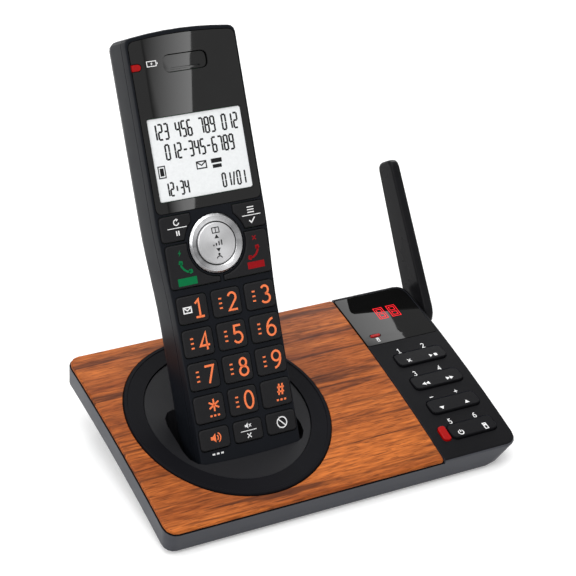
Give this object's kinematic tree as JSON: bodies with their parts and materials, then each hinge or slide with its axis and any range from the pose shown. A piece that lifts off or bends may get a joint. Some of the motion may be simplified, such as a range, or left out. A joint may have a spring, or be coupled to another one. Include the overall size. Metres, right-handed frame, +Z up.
{
  "type": "cordless telephone answering machine",
  "caption": "Cordless answering machine: sloping wood-topped base with a round cradle and rocker panel, folding aerial, and a handset that lifts out.",
  "frame": {"origin": "middle of the footprint's bounding box, on the table under the feet", "axes": "+X along the base towards its control panel, +Y towards its back, +Z up"},
  "size_m": [0.1708, 0.1362, 0.1609],
  "materials": {
    "slate": "fine satin",
    "black_plastic": "satin",
    "wood": "satin wood grain foil",
    "gloss_black": "gloss",
    "key_plastic": "matt",
    "screen": "lit light grey",
    "display": "dark with lit bars",
    "red_lens": "clear red",
    "silver": "turned",
    "silver_grey": "metallic paint",
    "board": "lacquer",
    "speaker": "matt",
    "contact": "plated",
    "pin_steel": "bright",
    "foot_rubber": "matt",
    "cell_sleeve": "shrink sleeve"
  },
  "bodies": {
    "base": {"answer_light": "red_lens", "antenna_pin": "pin_steel", "base_bottom_case": "slate", "base_circuit_board": "board", "base_speaker": "speaker", "base_top_case": "slate", "cradle_cup": "black_plastic", "cradle_ring": "black_plastic", "display_window": "gloss_black", "foot_back_left": "foot_rubber", "foot_back_right": "foot_rubber", "foot_front_left": "foot_rubber", "foot_front_right": "foot_rubber", "in_use_light": "red_lens", "line_jack": "black_plastic", "message_display": "display", "power_jack": "black_plastic", "wood_panel": "wood"},
    "handset": {"handset_front_case": "black_plastic", "handset_back_case": "slate", "handset_lens": "gloss_black", "lcd_screen": "screen", "earpiece": "gloss_black", "charge_light": "red_lens", "nav_trim_ring": "silver", "handset_circuit_board": "board", "battery_pack": "cell_sleeve", "charge_pad_left": "contact", "charge_pad_right": "contact"},
    "key_redial_body": {"key_redial": "key_plastic"},
    "key_menu_body": {"key_menu": "key_plastic"},
    "key_phone_body": {"key_phone": "key_plastic"},
    "key_off_body": {"key_off": "key_plastic"},
    "key_1_body": {"key_1": "key_plastic"},
    "key_2_body": {"key_2": "key_plastic"},
    "key_3_body": {"key_3": "key_plastic"},
    "key_4_body": {"key_4": "key_plastic"},
    "key_5_body": {"key_5": "key_plastic"},
    "key_6_body": {"key_6": "key_plastic"},
    "key_7_body": {"key_7": "key_plastic"},
    "key_8_body": {"key_8": "key_plastic"},
    "key_9_body": {"key_9": "key_plastic"},
    "key_star_body": {"key_star": "key_plastic"},
    "key_0_body": {"key_0": "key_plastic"},
    "key_pound_body": {"key_pound": "key_plastic"},
    "key_speaker_body": {"key_speaker": "key_plastic"},
    "key_mute_body": {"key_mute": "key_plastic"},
    "key_call_block_body": {"key_call_block": "key_plastic"},
    "rocker_delete_play_body": {"rocker_delete_play": "key_plastic"},
    "rocker_repeat_skip_body": {"rocker_repeat_skip": "key_plastic"},
    "rocker_volume_body": {"rocker_volume": "key_plastic"},
    "rocker_answer_find_body": {"rocker_answer_find": "key_plastic"},
    "antenna_body": {"antenna": "slate"},
    "battery_door_body": {"battery_door": "slate"},
    "nav_rocker_body": {"nav_rocker": "silver_grey"},
    "charge_contact_left_body": {"charge_contact_left": "contact"},
    "charge_contact_right_body": {"charge_contact_right": "contact"}
  },
  "joints": [
    {"name": "handset_lift", "type": "slide", "parent": "base", "child": "handset", "axis": [0, 0.5402, 0.8415], "range_m": [0, 0.08]},
    {"name": "key_redial_press", "type": "slide", "parent": "handset", "child": "key_redial_body", "axis": [0, -0.8415, 0.5402], "range_m": [-0.0006, 0], "stiffness_N_per_m": 700, "springref_m": 0.0004},
    {"name": "key_menu_press", "type": "slide", "parent": "handset", "child": "key_menu_body", "axis": [0, -0.8415, 0.5402], "range_m": [-0.0006, 0], "stiffness_N_per_m": 700, "springref_m": 0.0004},
    {"name": "key_phone_press", "type": "slide", "parent": "handset", "child": "key_phone_body", "axis": [0, -0.8415, 0.5402], "range_m": [-0.0006, 0], "stiffness_N_per_m": 700, "springref_m": 0.0004},
    {"name": "key_off_press", "type": "slide", "parent": "handset", "child": "key_off_body", "axis": [0, -0.8415, 0.5402], "range_m": [-0.0006, 0], "stiffness_N_per_m": 700, "springref_m": 0.0004},
    {"name": "key_1_press", "type": "slide", "parent": "handset", "child": "key_1_body", "axis": [0, -0.8415, 0.5402], "range_m": [-0.0006, 0], "stiffness_N_per_m": 700, "springref_m": 0.0004},
    {"name": "key_2_press", "type": "slide", "parent": "handset", "child": "key_2_body", "axis": [0, -0.8415, 0.5402], "range_m": [-0.0006, 0], "stiffness_N_per_m": 700, "springref_m": 0.0004},
    {"name": "key_3_press", "type": "slide", "parent": "handset", "child": "key_3_body", "axis": [0, -0.8415, 0.5402], "range_m": [-0.0006, 0], "stiffness_N_per_m": 700, "springref_m": 0.0004},
    {"name": "key_4_press", "type": "slide", "parent": "handset", "child": "key_4_body", "axis": [0, -0.8415, 0.5402], "range_m": [-0.0006, 0], "stiffness_N_per_m": 700, "springref_m": 0.0004},
    {"name": "key_5_press", "type": "slide", "parent": "handset", "child": "key_5_body", "axis": [0, -0.8415, 0.5402], "range_m": [-0.0006, 0], "stiffness_N_per_m": 700, "springref_m": 0.0004},
    {"name": "key_6_press", "type": "slide", "parent": "handset", "child": "key_6_body", "axis": [0, -0.8415, 0.5402], "range_m": [-0.0006, 0], "stiffness_N_per_m": 700, "springref_m": 0.0004},
    {"name": "key_7_press", "type": "slide", "parent": "handset", "child": "key_7_body", "axis": [0, -0.8415, 0.5402], "range_m": [-0.0006, 0], "stiffness_N_per_m": 700, "springref_m": 0.0004},
    {"name": "key_8_press", "type": "slide", "parent": "handset", "child": "key_8_body", "axis": [0, -0.8415, 0.5402], "range_m": [-0.0006, 0], "stiffness_N_per_m": 700, "springref_m": 0.0004},
    {"name": "key_9_press", "type": "slide", "parent": "handset", "child": "key_9_body", "axis": [0, -0.8415, 0.5402], "range_m": [-0.0006, 0], "stiffness_N_per_m": 700, "springref_m": 0.0004},
    {"name": "key_star_press", "type": "slide", "parent": "handset", "child": "key_star_body", "axis": [0, -0.8415, 0.5402], "range_m": [-0.0006, 0], "stiffness_N_per_m": 700, "springref_m": 0.0004},
    {"name": "key_0_press", "type": "slide", "parent": "handset", "child": "key_0_body", "axis": [0, -0.8415, 0.5402], "range_m": [-0.0006, 0], "stiffness_N_per_m": 700, "springref_m": 0.0004},
    {"name": "key_pound_press", "type": "slide", "parent": "handset", "child": "key_pound_body", "axis": [0, -0.8415, 0.5402], "range_m": [-0.0006, 0], "stiffness_N_per_m": 700, "springref_m": 0.0004},
    {"name": "key_speaker_press", "type": "slide", "parent": "handset", "child": "key_speaker_body", "axis": [0, -0.8415, 0.5402], "range_m": [-0.0006, 0], "stiffness_N_per_m": 700, "springref_m": 0.0004},
    {"name": "key_mute_press", "type": "slide", "parent": "handset", "child": "key_mute_body", "axis": [0, -0.8415, 0.5402], "range_m": [-0.0006, 0], "stiffness_N_per_m": 700, "springref_m": 0.0004},
    {"name": "key_call_block_press", "type": "slide", "parent": "handset", "child": "key_call_block_body", "axis": [0, -0.8415, 0.5402], "range_m": [-0.0006, 0], "stiffness_N_per_m": 700, "springref_m": 0.0004},
    {"name": "nav_rock", "type": "hinge", "parent": "handset", "child": "nav_rocker_body", "pos_m": [-0.03427, 0.00591, 0.08858], "axis": [1, 0, 0], "range_deg": [-2.5, 2.5], "stiffness_Nm_per_rad": 0.1},
    {"name": "rocker_delete_play_tip", "type": "hinge", "parent": "base", "child": "rocker_delete_play_body", "pos_m": [0.06228, -0.01432, 0.02108], "axis": [0, 0.9856, 0.1693], "range_deg": [-2.5, 2.5], "stiffness_Nm_per_rad": 0.15},
    {"name": "rocker_repeat_skip_tip", "type": "hinge", "parent": "base", "child": "rocker_repeat_skip_body", "pos_m": [0.06228, -0.02822, 0.01853], "axis": [0, 0.9816, 0.1911], "range_deg": [-2.5, 2.5], "stiffness_Nm_per_rad": 0.15},
    {"name": "rocker_volume_tip", "type": "hinge", "parent": "base", "child": "rocker_volume_body", "pos_m": [0.06228, -0.04212, 0.01567], "axis": [0, 0.9771, 0.2126], "range_deg": [-2.5, 2.5], "stiffness_Nm_per_rad": 0.15},
    {"name": "rocker_answer_find_tip", "type": "hinge", "parent": "base", "child": "rocker_answer_find_body", "pos_m": [0.06323, -0.05602, 0.01248], "axis": [0, 0.9723, 0.2338], "range_deg": [-2.5, 2.5], "stiffness_Nm_per_rad": 0.15},
    {"name": "antenna_turn", "type": "hinge", "parent": "base", "child": "antenna_body", "pos_m": [0.08308, 0.01798, 0.02187], "axis": [1, 0, 0], "range_deg": [-50, 60]},
    {"name": "battery_door_off", "type": "slide", "parent": "handset", "child": "battery_door_body", "axis": [0, 0.8415, -0.5402], "range_m": [0, 0.012]},
    {"name": "charge_contact_left_spring", "type": "slide", "parent": "base", "child": "charge_contact_left_body", "axis": [0, 0.5402, 0.8415], "range_m": [-0.001, 0], "stiffness_N_per_m": 250, "springref_m": 0.0004},
    {"name": "charge_contact_right_spring", "type": "slide", "parent": "base", "child": "charge_contact_right_body", "axis": [0, 0.5402, 0.8415], "range_m": [-0.001, 0], "stiffness_N_per_m": 250, "springref_m": 0.0004}
  ]
}
